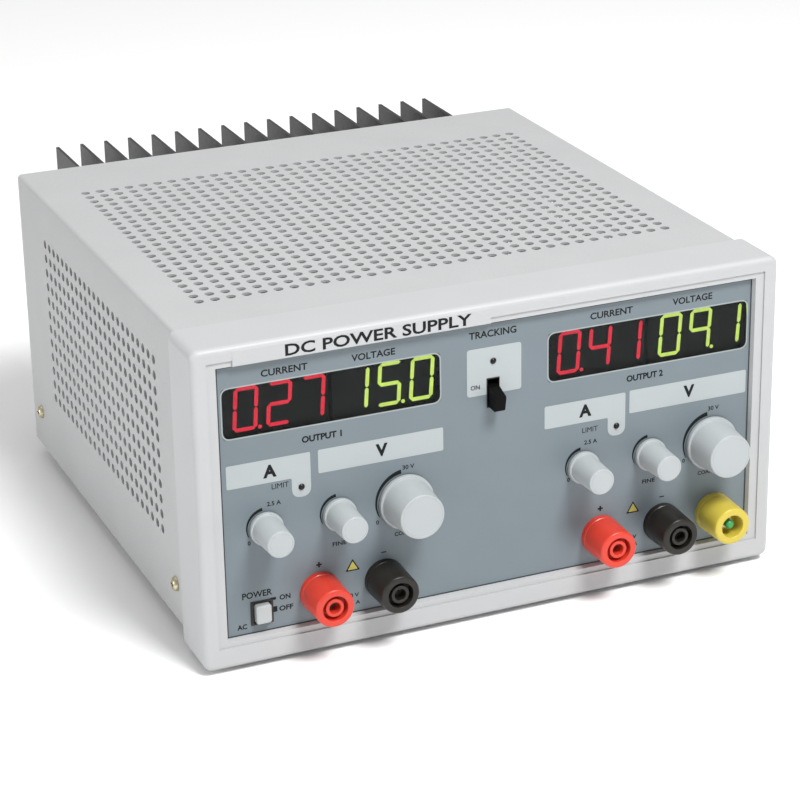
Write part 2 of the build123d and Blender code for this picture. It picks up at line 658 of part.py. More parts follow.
with BuildPart() as fuse_cap:
    add(turned(FUSE_X, FUSE_Z, [
        (0, REAR_FACE + 8), (6.2, REAR_FACE + 8), (7.0, REAR_FACE + 7.2), (7.0, REAR_FACE + 3.3),
        (5.0, REAR_FACE + 3.3), (5.0, REAR_FACE - 8), (0, REAR_FACE - 8),
    ]))
    with BuildSketch(facing_back(REAR_FACE + 8)):
        with Locations((-FUSE_X, FUSE_Z)):
            Rectangle(9.0, 1.6)
    extrude(amount=-1.6, mode=Mode.SUBTRACT)
save(fuse_cap, "fuse_cap")

# ---- inside the case ------------------------------------------------------------------------

CORE_BOTTOM = TRAY_TOP + 0.1
LEG = CORE_W / 6

with BuildPart() as transformer_core:
    with BuildSketch(facing_front(CORE_Y - CORE_T / 2)):
        with Locations((CORE_X, CORE_BOTTOM)):
            Rectangle(CORE_W, CORE_H, align=(Align.CENTER, Align.MIN))
        with Locations(*[(CORE_X + side * 1.5 * LEG, CORE_BOTTOM + CORE_H / 2) for side in (-1, 1)]):
            Rectangle(LEG, CORE_H - 2 * LEG, mode=Mode.SUBTRACT)
    extrude(amount=-CORE_T)
    with BuildSketch(Plane.XY.offset(CORE_BOTTOM)):
        with Locations(*CORE_SCREWS):
            Circle(CHASSIS_SCREW_R + 0.02)
    extrude(amount=8, mode=Mode.SUBTRACT)
save(transformer_core, "transformer_core")

with BuildPart() as transformer_winding:
    with BuildSketch(Plane.XY.offset(CORE_BOTTOM + LEG + 0.5)):
        with Locations((CORE_X, CORE_Y)):
            RectangleRounded(4 * LEG - 1, CORE_T + 2 * LEG - 4, 6)
            Rectangle(2 * LEG + 0.6, CORE_T + 0.6, mode=Mode.SUBTRACT)
    extrude(amount=CORE_H - 2 * LEG - 1)
save(transformer_winding, "transformer_winding")

BOARD_X, BOARD_Y, BOARD_W, BOARD_L, BOARD_Z = 62.0, -12.0, 118.0, 190.0, 24.0

with BuildPart() as main_board:
    with BuildSketch(Plane.XY.offset(BOARD_Z)):
        with Locations((BOARD_X, BOARD_Y)):
            Rectangle(BOARD_W, BOARD_L)
            with GridLocations(BOARD_W - 10, BOARD_L - 10, 2, 2):
                Circle(1.7, mode=Mode.SUBTRACT)
    extrude(amount=1.6)
save(main_board, "main_board")

with BuildPart() as board_standoffs:
    with BuildSketch(Plane.XY.offset(TRAY_TOP)):
        with Locations((BOARD_X, BOARD_Y)):
            with GridLocations(BOARD_W - 10, BOARD_L - 10, 2, 2):
                RegularPolygon(3.0, 6, major_radius=False)
    extrude(amount=BOARD_Z - TRAY_TOP)
    with BuildSketch(Plane.XY.offset(BOARD_Z)):
        with Locations((BOARD_X, BOARD_Y)):
            with GridLocations(BOARD_W - 10, BOARD_L - 10, 2, 2):
                Circle(1.5)
    extrude(amount=4)
save(board_standoffs, "board_standoffs")

BOARD_TOP = BOARD_Z + 1.6

with BuildPart() as filter_capacitors:
    with BuildSketch(Plane.XY.offset(BOARD_TOP)):
        with Locations((BOARD_X - 18, BOARD_Y + 20)):
            with GridLocations(38, 40, 2, 2):
                Circle(15)
    extrude(amount=45)
    fillet(filter_capacitors.edges().filter_by(GeomType.CIRCLE).group_by(Axis.Z)[-1], radius=1.5)
save(filter_capacitors, "filter_capacitors")

with BuildPart() as rectifier_bridges:
    with BuildSketch(Plane.XY.offset(BOARD_TOP)):
        with Locations((BOARD_X + 42, BOARD_Y + 30)):
            with GridLocations(0, 50, 1, 2):
                Rectangle(6, 30)
    extrude(amount=22)
save(rectifier_bridges, "rectifier_bridges")

# ---- feet --------------------------------------------------------------------------------------

with BuildPart() as rubber_feet:
    for foot_x, foot_y in FEET:
        with BuildSketch(Plane(origin=(foot_x, foot_y, 0), x_dir=(1, 0, 0), z_dir=(0, -1, 0))):
            with BuildLine():
                Polyline((2.1, FOOT_H), (8.5, FOOT_H), (7.6, 0.6), (7.0, 0), (4.4, 0), (4.4, 3.6),
                         (2.1, 3.6), close=True)
            make_face()
        revolve(axis=Axis((foot_x, foot_y, 0), (0, 0, 1)), revolution_arc=360)
save(rubber_feet, "rubber_feet")

with BuildPart() as foot_screws:
    with BuildSketch(Plane.XY.offset(1.3)):
        with Locations(*FEET):
            Circle(3.8)
    extrude(amount=2.3)
    with BuildSketch(Plane.XY.offset(3.6)):
        with Locations(*FEET):
            Circle(2.0)
    extrude(amount=9)
save(foot_screws, "foot_screws")
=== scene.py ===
"""Looks of a dual-output bench power supply, built round its packed assembly.

Metres, +Z up, front to -Y.
"""

import json
import math

import bmesh
import bpy
from mathutils import Matrix, Vector

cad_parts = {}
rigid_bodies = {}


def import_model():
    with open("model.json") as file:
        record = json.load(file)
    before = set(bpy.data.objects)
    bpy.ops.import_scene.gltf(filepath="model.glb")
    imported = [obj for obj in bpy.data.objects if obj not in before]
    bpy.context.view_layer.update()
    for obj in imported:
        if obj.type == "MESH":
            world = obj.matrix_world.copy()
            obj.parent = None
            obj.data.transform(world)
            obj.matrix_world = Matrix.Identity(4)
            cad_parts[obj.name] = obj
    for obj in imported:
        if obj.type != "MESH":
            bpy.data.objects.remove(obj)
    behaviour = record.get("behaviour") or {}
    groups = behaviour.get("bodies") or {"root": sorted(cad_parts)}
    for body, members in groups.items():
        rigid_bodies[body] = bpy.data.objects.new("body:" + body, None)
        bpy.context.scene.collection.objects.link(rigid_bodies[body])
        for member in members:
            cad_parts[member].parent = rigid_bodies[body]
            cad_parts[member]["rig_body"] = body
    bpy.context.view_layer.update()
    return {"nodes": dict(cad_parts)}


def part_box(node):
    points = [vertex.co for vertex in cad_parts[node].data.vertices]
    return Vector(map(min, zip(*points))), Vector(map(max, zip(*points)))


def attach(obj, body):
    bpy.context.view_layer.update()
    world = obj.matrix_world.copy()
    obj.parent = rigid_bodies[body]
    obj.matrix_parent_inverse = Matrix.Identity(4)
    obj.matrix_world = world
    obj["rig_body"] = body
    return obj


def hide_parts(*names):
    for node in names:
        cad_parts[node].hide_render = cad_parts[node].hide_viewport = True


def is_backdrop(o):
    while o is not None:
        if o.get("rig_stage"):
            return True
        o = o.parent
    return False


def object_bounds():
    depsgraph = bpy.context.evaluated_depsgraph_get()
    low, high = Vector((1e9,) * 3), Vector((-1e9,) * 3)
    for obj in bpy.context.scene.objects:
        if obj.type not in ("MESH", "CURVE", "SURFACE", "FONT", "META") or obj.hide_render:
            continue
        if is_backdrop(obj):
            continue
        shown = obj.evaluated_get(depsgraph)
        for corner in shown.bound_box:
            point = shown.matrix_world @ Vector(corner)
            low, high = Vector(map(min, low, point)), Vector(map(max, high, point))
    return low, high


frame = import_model()

MM = 0.001
NODES = frame["nodes"]

# ---- finishes ------------------------------------------------------------------------

WAVE_SCALE = 0.314  # scale of a wave texture times the pitch of its bands


class Finish:
    """A procedural finish on Object coordinates, with short calls for the nodes it needs."""

    def __init__(self, name, rough, metal=0.0, specular=0.5):
        self.material = bpy.data.materials.new(name)
        self.material.use_nodes = True
        self.tree = self.material.node_tree
        self.shader = self.tree.nodes["Principled BSDF"]
        self.shader.inputs["Roughness"].default_value = rough
        self.shader.inputs["Metallic"].default_value = metal
        self.shader.inputs["Specular IOR Level"].default_value = specular
        self.place = self.tree.nodes.new("ShaderNodeTexCoord").outputs["Object"]

    def node(self, kind, **inputs):
        made = self.tree.nodes.new(kind)
        for name, value in inputs.items():
            made.inputs[name.replace("_", " ")].default_value = value
        return made

    def link(self, source, target):
        self.tree.links.new(source, target)

    def stretched(self, squeeze):
        """The object's coordinates, scaled along each axis so that a pattern runs in streaks."""
        mapping = self.node("ShaderNodeMapping", Scale=squeeze)
        self.link(self.place, mapping.inputs["Vector"])
        return mapping.outputs["Vector"]

    def noise(self, grain, detail=2.0, place=None, roughness=0.5):
        """A noise whose features are about grain metres across."""
        made = self.node("ShaderNodeTexNoise", Scale=1.0 / grain, Detail=detail, Roughness=roughness)
        self.link(place or self.place, made.inputs["Vector"])
        return made.outputs["Fac"]

    def spread(self, source, low, high, start=0.3, end=0.7):
        """source, from start to end, spread over low to high."""
        made = self.node("ShaderNodeMapRange", From_Min=start, From_Max=end, To_Min=low, To_Max=high)
        self.link(source, made.inputs["Value"])
        return made.outputs["Result"]

    def blended(self, amount, first, second):
        """A colour between first and second, each a colour or another node's output."""
        made = self.tree.nodes.new("ShaderNodeMix")
        made.data_type = "RGBA"
        self.link(amount, made.inputs["Factor"])
        for socket, colour in ((made.inputs[6], first), (made.inputs[7], second)):
            if isinstance(colour, tuple):
                socket.default_value = (*colour, 1)
            else:
                self.link(colour, socket)
        return made.outputs[2]

    def colour(self, source):
        self.link(source, self.shader.inputs["Base Color"])

    def rough(self, source, low, high):
        self.link(self.spread(source, low, high), self.shader.inputs["Roughness"])

    def bump(self, source, depth, under=None):
        """Raises the surface by up to depth metres, on top of an earlier bump."""
        made = self.node("ShaderNodeBump", Strength=1.0, Distance=depth)
        self.link(source, made.inputs["Height"])
        if under is not None:
            self.link(under, made.inputs["Normal"])
        self.link(made.outputs["Normal"], self.shader.inputs["Normal"])
        return made.outputs["Normal"]


def shade(colour, factor):
    return tuple(min(1.0, c * factor) for c in colour)


def moulded(name, colour, rough, grain, depth, mottle=0.04, specular=0.5, coat=0.0):
    """Moulded or painted surface: fine texture, slow mottling and a slightly uneven gloss."""
    finish = Finish(name, rough, specular=specular)
    finish.shader.inputs["Coat Weight"].default_value = coat
    finish.shader.inputs["Coat Roughness"].default_value = 0.18
    slow = finish.noise(28 * MM, 3.0)
    fine = finish.noise(grain, 3.0)
    base = finish.blended(finish.spread(slow, 0, 1), shade(colour, 1 - mottle), shade(colour, 1 + mottle))
    speck = finish.spread(fine, 0.0, 0.5 * mottle + 0.02, 0.35, 0.65)
    finish.colour(finish.blended(speck, base, shade(colour, 0.55)))
    finish.rough(fine, rough - 0.07, rough + 0.07)
    finish.bump(fine, depth)
    return finish.material


def brushed(name, colour, rough, squeeze, grain, depth, metal=1.0):
    """Metal with streaks left by drawing, brushing or turning."""
    finish = Finish(name, rough, metal=metal)
    streaks = finish.noise(grain, 3.0, finish.stretched(squeeze))
    slow = finish.noise(15 * MM, 2.0)
    tone = finish.blended(finish.spread(slow, 0, 1), shade(colour, 0.9), shade(colour, 1.05))
    finish.colour(finish.blended(finish.spread(streaks, 0, 0.35), tone, shade(colour, 0.6)))
    finish.rough(streaks, rough - 0.08, rough + 0.1)
    finish.bump(streaks, depth)
    return finish.material


def layered(name, colour, dark, pitch, axis, rough, metal, depth):
    """Stacked sheets or side-by-side turns, pitch metres apart along an axis."""
    finish = Finish(name, rough, metal=metal)
    wave = finish.node("ShaderNodeTexWave", Scale=WAVE_SCALE / pitch, Distortion=0.3,
                       Detail=1.0, Detail_Scale=2.0)
    wave.wave_type = "BANDS"
    wave.bands_direction = axis
    finish.link(finish.place, wave.inputs["Vector"])
    slow = finish.noise(9 * MM, 3.0)
    tone = finish.blended(finish.spread(slow, 0, 1), shade(colour, 0.85), shade(colour, 1.1))
    finish.colour(finish.blended(wave.outputs["Fac"], dark, tone))
    finish.rough(slow, rough - 0.06, rough + 0.08)
    finish.bump(wave.outputs["Fac"], depth)
    return finish.material


def lit(name, colour, strength):
    """Light-emitting segment: even glow that falls off slightly in patches."""
    finish = Finish(name, 0.35)
    patches = finish.noise(1.6 * MM, 1.0)
    glow = finish.blended(finish.spread(patches, 0, 1), shade(colour, 0.88), colour)
    finish.colour(glow)
    finish.link(glow, finish.shader.inputs["Emission Color"])
    finish.shader.inputs["Emission Strength"].default_value = strength
    finish.rough(patches, 0.3, 0.42)
    return finish.material


def tinted_window(name, tint):
    """Smoked acrylic: clear but dark, with faint waviness in its polish."""
    finish = Finish(name, 0.04)
    finish.shader.inputs["Transmission Weight"].default_value = 1.0
    finish.shader.inputs["IOR"].default_value = 1.2
    slow = finish.noise(35 * MM, 1.0)
    finish.colour(finish.blended(finish.spread(slow, 0, 1), shade(tint, 0.95), tint))
    finish.rough(slow, 0.03, 0.06)
    finish.bump(slow, 0.004 * MM)
    return finish.material


PAINTS = {
    "grey_paint": moulded("grey_paint", (0.415, 0.422, 0.425), 0.55, 0.9 * MM, 0.05 * MM, 0.02),
    "bezel_plastic": moulded("bezel_plastic", (0.437, 0.444, 0.45), 0.46, 0.5 * MM, 0.012 * MM, 0.015),
    "panel_paint": moulded("panel_paint", (0.150, 0.186, 0.207), 0.42, 0.35 * MM, 0.01 * MM, 0.03),
    "knob_plastic": moulded("knob_plastic", (0.385, 0.412, 0.418), 0.42, 0.4 * MM, 0.008 * MM, 0.015),
    "button_plastic": moulded("button_plastic", (0.40, 0.42, 0.42), 0.45, 0.4 * MM, 0.01 * MM, 0.02),
    "red_plastic": moulded("red_plastic", (0.60, 0.04, 0.02), 0.36, 0.6 * MM, 0.01 * MM, 0.05),
    "black_plastic": moulded("black_plastic", (0.015, 0.013, 0.010), 0.36, 0.5 * MM, 0.012 * MM,
                             0.12, 0.35),
    "yellow_plastic": moulded("yellow_plastic", (0.57, 0.455, 0.055), 0.36, 0.6 * MM, 0.01 * MM, 0.04),
    "green_plastic": moulded("green_plastic", (0.03, 0.30, 0.08), 0.4, 0.5 * MM, 0.01 * MM, 0.08),
    "digit_module": moulded("digit_module", (0.010, 0.014, 0.013), 0.6, 0.8 * MM, 0.003 * MM, 0.15),
    "dark_lens": moulded("dark_lens", (0.008, 0.007, 0.008), 0.3, 0.8 * MM, 0.004 * MM, 0.1, 0.25),
    "black_rubber": moulded("black_rubber", (0.025, 0.025, 0.026), 0.8, 0.7 * MM, 0.03 * MM, 0.2, 0.3),
    "capacitor_sleeve": moulded("capacitor_sleeve", (0.02, 0.03, 0.07), 0.34, 1.5 * MM, 0.02 * MM, 0.1),
    "circuit_board": moulded("circuit_board", (0.05, 0.16, 0.07), 0.4, 0.8 * MM, 0.02 * MM, 0.12),
    "yellow_zinc": brushed("yellow_zinc", (0.66, 0.60, 0.42), 0.3, (1, 12, 1), 0.8 * MM, 0.01 * MM),
    "nickel": brushed("nickel", (0.72, 0.70, 0.66), 0.28, (1, 12, 1), 0.8 * MM, 0.01 * MM),
    "zinc_plate": brushed("zinc_plate", (0.60, 0.61, 0.60), 0.38, (1, 18, 6), 3 * MM, 0.02 * MM),
    "black_anodised": brushed("black_anodised", (0.035, 0.035, 0.037), 0.42, (9, 9, 0.5),
                              1.6 * MM, 0.03 * MM, 0.35),
    "core_steel": layered("core_steel", (0.20, 0.19, 0.18), (0.06, 0.05, 0.05),
                          1.0 * MM, "Y", 0.5, 0.7, 0.15 * MM),
    "copper_winding": layered("copper_winding", (0.55, 0.22, 0.08), (0.10, 0.04, 0.02),
                              1.2 * MM, "Z", 0.35, 0.6, 0.3 * MM),
    "smoked_window": tinted_window("smoked_window", (0.42, 0.46, 0.45)),
}

black_ink = moulded("black_ink", (0.010, 0.011, 0.012), 0.6, 0.3 * MM, 0.004 * MM, 0.1, 0.15)
white_ink = moulded("white_ink", (0.375, 0.408, 0.417), 0.5, 0.3 * MM, 0.004 * MM, 0.02)
pale_ink = moulded("pale_ink", (0.30, 0.33, 0.33), 0.5, 0.3 * MM, 0.004 * MM, 0.03)
# the dark ink below is painted shadow, for the shade where the bezel meets the panel
gap_shadow_ink = moulded("gap_shadow_ink", (0.045, 0.05, 0.053), 0.6, 0.3 * MM, 0.004 * MM, 0.1, 0.2)
yellow_ink = moulded("yellow_ink", (0.42, 0.37, 0.08), 0.5, 0.3 * MM, 0.004 * MM, 0.05)
red_light = lit("red_light", (0.98, 0.027, 0.06), 1.45)
green_light = lit("green_light", (0.78, 0.95, 0.18), 1.5)
lever_black = moulded("lever_black", (0.004, 0.004, 0.004), 0.4, 0.5 * MM, 0.01 * MM, 0.1, 0.05)

INK_EDGE, SOLID_EDGE = 20, 34  # degrees above which edges of printing and of solid pieces are sharp

# ---- making and placing pieces -----------------------------------------------------


def finished(name, bm, finishes, sharp_above=SOLID_EDGE):
    """Turns a mesh in the making, already in place, into a named object with smooth and sharp edges."""
    bmesh.ops.remove_doubles(bm, verts=bm.verts, dist=0.0005 * MM)
    bmesh.ops.recalc_face_normals(bm, faces=bm.faces)
    mesh = bpy.data.meshes.new(name)
    bm.to_mesh(mesh)
    bm.free()
    return placed(name, mesh, finishes, sharp_above)


def placed(name, mesh, finishes, sharp_above=SOLID_EDGE):
    """A named object of a ready mesh."""
    mesh.materials.clear()
    for finish in finishes:
        mesh.materials.append(finish)
    mesh.shade_smooth()
    mesh.set_sharp_from_angle(angle=math.radians(sharp_above))
    made = bpy.data.objects.new(name, mesh)
    bpy.context.scene.collection.objects.link(made)
    return made


def settle(made, body, slot, *stands_for):
    """Fixes a finished piece to its body and hides the nodes it stands for; slot is not used."""
    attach(made, body)
    if stands_for:
        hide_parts(*stands_for)
    return made


def body_of(node):
    return NODES[node]["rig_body"]


def middle(node):
    low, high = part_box(node)
    return (low + high) / 2


def eased(corners, steps=5):
    """Outline with each (a, b, ease) corner cut back by ease and rounded; ease 0 leaves it sharp."""
    points = []
    for k, (a, b, ease) in enumerate(corners):
        here = Vector((a, b))
        if ease <= 0:
            points.append(here)
            continue
        before = Vector(corners[k - 1][:2])
        after = Vector(corners[(k + 1) % len(corners)][:2])
        start = here + (before - here).normalized() * ease
        end = here + (after - here).normalized() * ease
        for step in range(steps + 1):
            t = step / steps
            points.append(start * (1 - t) ** 2 + here * (2 * t * (1 - t)) + end * t * t)
    return points


def lathe(bm, outline, x, z, steps=96):
    """Body of revolution about the front-to-back line through (x, z), from (radius, y) points."""
    rings = []
    turns = [2 * math.pi * k / steps for k in range(steps)]
    for radius, y in outline:
        if radius < 1e-6:
            rings.append([bm.verts.new((x, y, z))])
            continue
        rings.append([bm.verts.new((x + radius * math.cos(t), y, z + radius * math.sin(t)))
                      for t in turns])
    if outline[0][0] > 1e-6:
        rings.append(rings[0])
    for ring, following in zip(rings, rings[1:]):
        for k in range(steps):
            corners = []
            for vertex in (ring[k % len(ring)], ring[(k + 1) % len(ring)],
                           following[(k + 1) % len(following)], following[k % len(following)]):
                if vertex not in corners:
                    corners.append(vertex)
            if len(corners) > 2:
                bm.faces.new(corners)


def slab(bm, outline, front, back):
    """Flat piece parallel to the panel: a closed (x, z) outline from depth front to depth back."""
    near = [bm.verts.new((x, front, z)) for x, z in outline]
    far = [bm.verts.new((x, back, z)) for x, z in outline]
    bm.faces.new(near)
    bm.faces.new(far[::-1])
    count = len(outline)
    for k in range(count):
        bm.faces.new((near[k], far[k], far[(k + 1) % count], near[(k + 1) % count]))


def frame_slab(bm, outer, inner, front, back):
    """Flat ring between two (x, z) outlines with the same number of points."""
    rings = [[bm.verts.new((x, y, z)) for x, z in loop]
             for loop, y in ((outer, front), (inner, front), (inner, back), (outer, back))]
    count = len(outer)
    for ring, following in zip(rings, rings[1:] + rings[:1]):
        for k in range(count):
            bm.faces.new((ring[k], ring[(k + 1) % count], following[(k + 1) % count], following[k]))


def disc(x, z, radius, steps=20):
    """Outline of a round dot."""
    turns = [2 * math.pi * k / steps for k in range(steps)]
    return [(x + radius * math.cos(t), z + radius * math.sin(t)) for t in turns]


def block(x0, x1, z0, z1, ease=0.0):
    """Outline of a rectangle."""
    return eased([(x0, z0, ease), (x1, z0, ease), (x1, z1, ease), (x0, z1, ease)])


def evaluated_mesh(holder):
    """A plain mesh of what the object's curve or modifiers make."""
    return bpy.data.meshes.new_from_object(holder.evaluated_get(bpy.context.evaluated_depsgraph_get()))


def word_mesh(words, weight):
    """The words as a mesh one unit deep, thickened by weight."""
    curve = bpy.data.curves.new("word", "FONT")
    curve.body = words
    curve.offset = weight
    curve.resolution_u = 3
    curve.extrude = 0.5
    holder = bpy.data.objects.new("word", curve)
    bpy.context.scene.collection.objects.link(holder)
    mesh = evaluated_mesh(holder)
    bpy.data.objects.remove(holder)
    bpy.data.curves.remove(curve)
    return mesh


def write(bm, words, x, z, height, width, weight, front, rise=0.05 * MM):
    """Raised lettering on a plane facing the front: height is that of a capital, middle at (x, z)."""
    mesh = word_mesh(words, weight)
    low = Vector(map(min, *[v.co for v in mesh.vertices]))
    high = Vector(map(max, *[v.co for v in mesh.vertices]))
    up = height / (high.y - low.y)
    across = width / (high.x - low.x) if width else up
    mid = (low + high) / 2
    for vertex in mesh.vertices:
        place = vertex.co - mid
        vertex.co = (x + place.x * across, front - rise * (place.z + 0.5), z + place.y * up)
    bm.from_mesh(mesh)
    bpy.data.meshes.remove(mesh)


# ---- repeated things by Geometry Nodes ------------------------------------------------


class Rule:
    """A geometry node tree with named inputs, and what is needed to run it once on a base mesh."""

    def __init__(self, name, **inputs):
        self.tree = bpy.data.node_groups.new(name, "GeometryNodeTree")
        self.sockets = {}
        self.tree.interface.new_socket("Geometry", in_out="INPUT", socket_type="NodeSocketGeometry")
        for label, kind in inputs.items():
            made = self.tree.interface.new_socket(label.replace("_", " "), in_out="INPUT",
                                                  socket_type=kind)
            self.sockets[label] = made.identifier
        self.tree.interface.new_socket("Geometry", in_out="OUTPUT", socket_type="NodeSocketGeometry")
        self.entry = self.tree.nodes.new("NodeGroupInput")

    def given(self, label):
        return self.entry.outputs[label.replace("_", " ")]

    def feed(self, socket, value):
        """Links another node's output to the socket, or sets a plain value."""
        if isinstance(value, bpy.types.NodeSocket):
            self.tree.links.new(value, socket)
        else:
            socket.default_value = value

    def node(self, kind, settings=(), **inputs):
        made = self.tree.nodes.new(kind)
        for name, value in settings:
            setattr(made, name, value)
        for name, value in inputs.items():
            self.feed(made.inputs[name.replace("_", " ")], value)
        return made

    def maths(self, operation, first, second):
        made = self.tree.nodes.new("ShaderNodeMath")
        made.operation = operation
        for socket, value in zip(made.inputs, (first, second)):
            self.feed(socket, value)
        return made.outputs[0]

    def vector(self, x, y, z):
        return self.node("ShaderNodeCombineXYZ", X=x, Y=y, Z=z).outputs[0]

    def joined(self, *parts):
        made = self.tree.nodes.new("GeometryNodeJoinGeometry")
        for part in parts:
            self.tree.links.new(part, made.inputs[0])
        return made.outputs[0]

    def end(self, geometry):
        """Realises the instances, sets the finish and closes the tree."""
        whole = self.node("GeometryNodeRealizeInstances", Geometry=geometry)
        painted = self.node("GeometryNodeSetMaterial", Geometry=whole.outputs[0],
                            Material=self.given("Finish"))
        self.tree.links.new(painted.outputs[0], self.tree.nodes.new("NodeGroupOutput").inputs[0])

    def run(self, base, **values):
        """The plain mesh that the rule makes from a base mesh with these inputs."""
        holder = bpy.data.objects.new("rule base", base)
        bpy.context.scene.collection.objects.link(holder)
        modifier = holder.modifiers.new("rule", "NODES")
        modifier.node_group = self.tree
        for label, value in values.items():
            modifier[self.sockets[label]] = value
        mesh = evaluated_mesh(holder)
        holder.modifiers.remove(modifier)
        bpy.data.objects.remove(holder)
        return mesh


FLOAT, COUNT = "NodeSocketFloat", "NodeSocketInt"


def perforated_sheet_rule():
    """A flat sheet about the origin, its top at z = 0, with a grid of round holes through it."""
    rule = Rule("perforated sheet", Width=FLOAT, Length=FLOAT, Thickness=FLOAT, Columns=COUNT,
                Rows=COUNT, Pitch=FLOAT, Hole_Radius=FLOAT, Hole_Sides=COUNT, Shift_X=FLOAT,
                Shift_Y=FLOAT, Finish="NodeSocketMaterial")
    across = rule.maths("MULTIPLY", rule.maths("SUBTRACT", rule.given("Columns"), 1.0),
                        rule.given("Pitch"))
    along = rule.maths("MULTIPLY", rule.maths("SUBTRACT", rule.given("Rows"), 1.0), rule.given("Pitch"))
    grid = rule.node("GeometryNodeMeshGrid", Size_X=across, Size_Y=along,
                     Vertices_X=rule.given("Columns"), Vertices_Y=rule.given("Rows"))
    shifted = rule.node("GeometryNodeTransform", Geometry=grid.outputs[0],
                        Translation=rule.vector(rule.given("Shift_X"), rule.given("Shift_Y"), 0.0))
    hole = rule.node("GeometryNodeCurvePrimitiveCircle", Resolution=rule.given("Hole_Sides"),
                     Radius=rule.given("Hole_Radius"))
    holes = rule.node("GeometryNodeInstanceOnPoints", Points=shifted.outputs[0], Instance=hole.outputs[0])
    edge = rule.node("GeometryNodeCurvePrimitiveQuadrilateral", Width=rule.given("Width"),
                     Height=rule.given("Length"))
    drawn = rule.node("GeometryNodeRealizeInstances",
                      Geometry=rule.joined(edge.outputs[0], holes.outputs[0]))
    face = rule.node("GeometryNodeFillCurve", Curve=drawn.outputs[0])
    down = rule.maths("MULTIPLY", rule.given("Thickness"), -1.0)
    walls = rule.node("GeometryNodeExtrudeMesh", Mesh=face.outputs[0], Offset_Scale=down,
                      Individual=False)
    rule.end(rule.joined(face.outputs[0], walls.outputs[0]))
    return rule


DOME_RISE = 1.45  # height of the whole dome, of which the head is the upper part, over the head's
SLOT_LONG, SLOT_WIDE = 1.15, 0.22  # the recess's two slots, over the head's radius


def screw_rule():
    """Pan heads with a cross recess on every point of the base, turned to its outward vector."""
    rule = Rule("pan head screws", Radius=FLOAT, Height=FLOAT, Recess=FLOAT, Finish="NodeSocketMaterial")
    radius, height = rule.given("Radius"), rule.given("Height")
    dome = rule.node("GeometryNodeMeshUVSphere", Segments=40, Rings=28, Radius=1.0)
    squashed = rule.node("GeometryNodeTransform", Geometry=dome.outputs[0],
                         Scale=rule.vector(radius, radius, rule.maths("MULTIPLY", height, DOME_RISE)))
    wide = rule.maths("MULTIPLY", radius, 3.0)
    upper = rule.node("GeometryNodeMeshCube", Size=rule.vector(wide, wide, height))
    lifted = rule.node("GeometryNodeTransform", Geometry=upper.outputs[0],
                       Translation=rule.vector(0.0, 0.0, rule.maths("MULTIPLY", height, 0.5)))
    head = rule.node("GeometryNodeMeshBoolean", (("operation", "INTERSECT"),))
    for part in (squashed, lifted):
        rule.tree.links.new(part.outputs[0], head.inputs[1])
    slots = []
    for turned in (False, True):
        long, short = (rule.maths("MULTIPLY", radius, part) for part in (SLOT_LONG, SLOT_WIDE))
        size = rule.vector(short, long, wide) if turned else rule.vector(long, short, wide)
        bar = rule.node("GeometryNodeMeshCube", Size=size)
        rise = rule.maths("ADD", rule.maths("MULTIPLY", wide, 0.5),
                          rule.maths("SUBTRACT", height, rule.given("Recess")))
        slots.append(rule.node("GeometryNodeTransform", Geometry=bar.outputs[0],
                               Translation=rule.vector(0.0, 0.0, rise)))
    cut = rule.node("GeometryNodeMeshBoolean", (("operation", "DIFFERENCE"),))
    rule.tree.links.new(head.outputs[0], cut.inputs[0])
    for part in slots:
        rule.tree.links.new(part.outputs[0], cut.inputs[1])
    outward = rule.node("GeometryNodeInputNamedAttribute", (("data_type", "FLOAT_VECTOR"),),
                        Name="outward")
    turn = rule.node("FunctionNodeAlignRotationToVector", (("axis", "Z"),), Vector=outward.outputs[0])
    heads = rule.node("GeometryNodeInstanceOnPoints", Points=rule.given("Geometry"),
                      Instance=cut.outputs[0], Rotation=turn.outputs[0])
    rule.end(heads.outputs[0])
    return rule


def points_mesh(places):
    """Loose points, each with the direction that it faces."""
    mesh = bpy.data.meshes.new("screw places")
    mesh.from_pydata([place for place, _ in places], [], [])
    attribute = mesh.attributes.new("outward", "FLOAT_VECTOR", "POINT")
    for item, (_, direction) in zip(attribute.data, places):
        item.vector = direction
    return mesh


# ---- ventilated cover ------------------------------------------------------------------

VENT_PITCH, VENT_RADIUS, VENT_SIDES = 7.25 * MM, 2.2 * MM, 12
SHEET = 1.2 * MM
BEND, BEND_STEPS = 2.0 * MM, 6  # outer radius of the cover's two long bends
TOP_VENTS, SIDE_VENTS = (32, 24), (24, 12)
VENTS_BEHIND_FRONT = 60 * MM
SIDE_VENTS_LOW = 37 * MM  # lowest row of side vents, above the cover's lower edge

cover_low, cover_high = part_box("cover")
bezel_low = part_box("front_bezel")[0]
cover_length = cover_high.y - cover_low.y
cover_mid_y = (cover_low.y + cover_high.y) / 2
flat_half = cover_high.x - BEND
side_top = cover_high.z - BEND

sheet_rule = perforated_sheet_rule()


def vent_shift(count, first, centre):
    """How far the middle of a row of vents lies from the sheet's middle."""
    return first + (count - 1) * VENT_PITCH / 2 - centre


def cover_sheet(bm, width, height, columns, rows, shift_x, shift_y, place, seam):
    """Adds one perforated wall, put in place by a matrix; its walls along the seam are left out."""
    base = bpy.data.meshes.new("sheet base")
    mesh = sheet_rule.run(base, Width=width, Length=height, Thickness=SHEET, Columns=columns, Rows=rows,
                          Pitch=VENT_PITCH, Hole_Radius=VENT_RADIUS, Hole_Sides=VENT_SIDES,
                          Shift_X=shift_x, Shift_Y=shift_y, Finish=PAINTS["grey_paint"])
    mesh.transform(place)
    wall = bmesh.new()
    wall.from_mesh(mesh)
    inner = [f for f in wall.faces if all(seam(v.co) for v in f.verts)]
    bmesh.ops.delete(wall, geom=inner, context="FACES")
    wall.to_mesh(mesh)
    wall.free()
    bm.from_mesh(mesh)


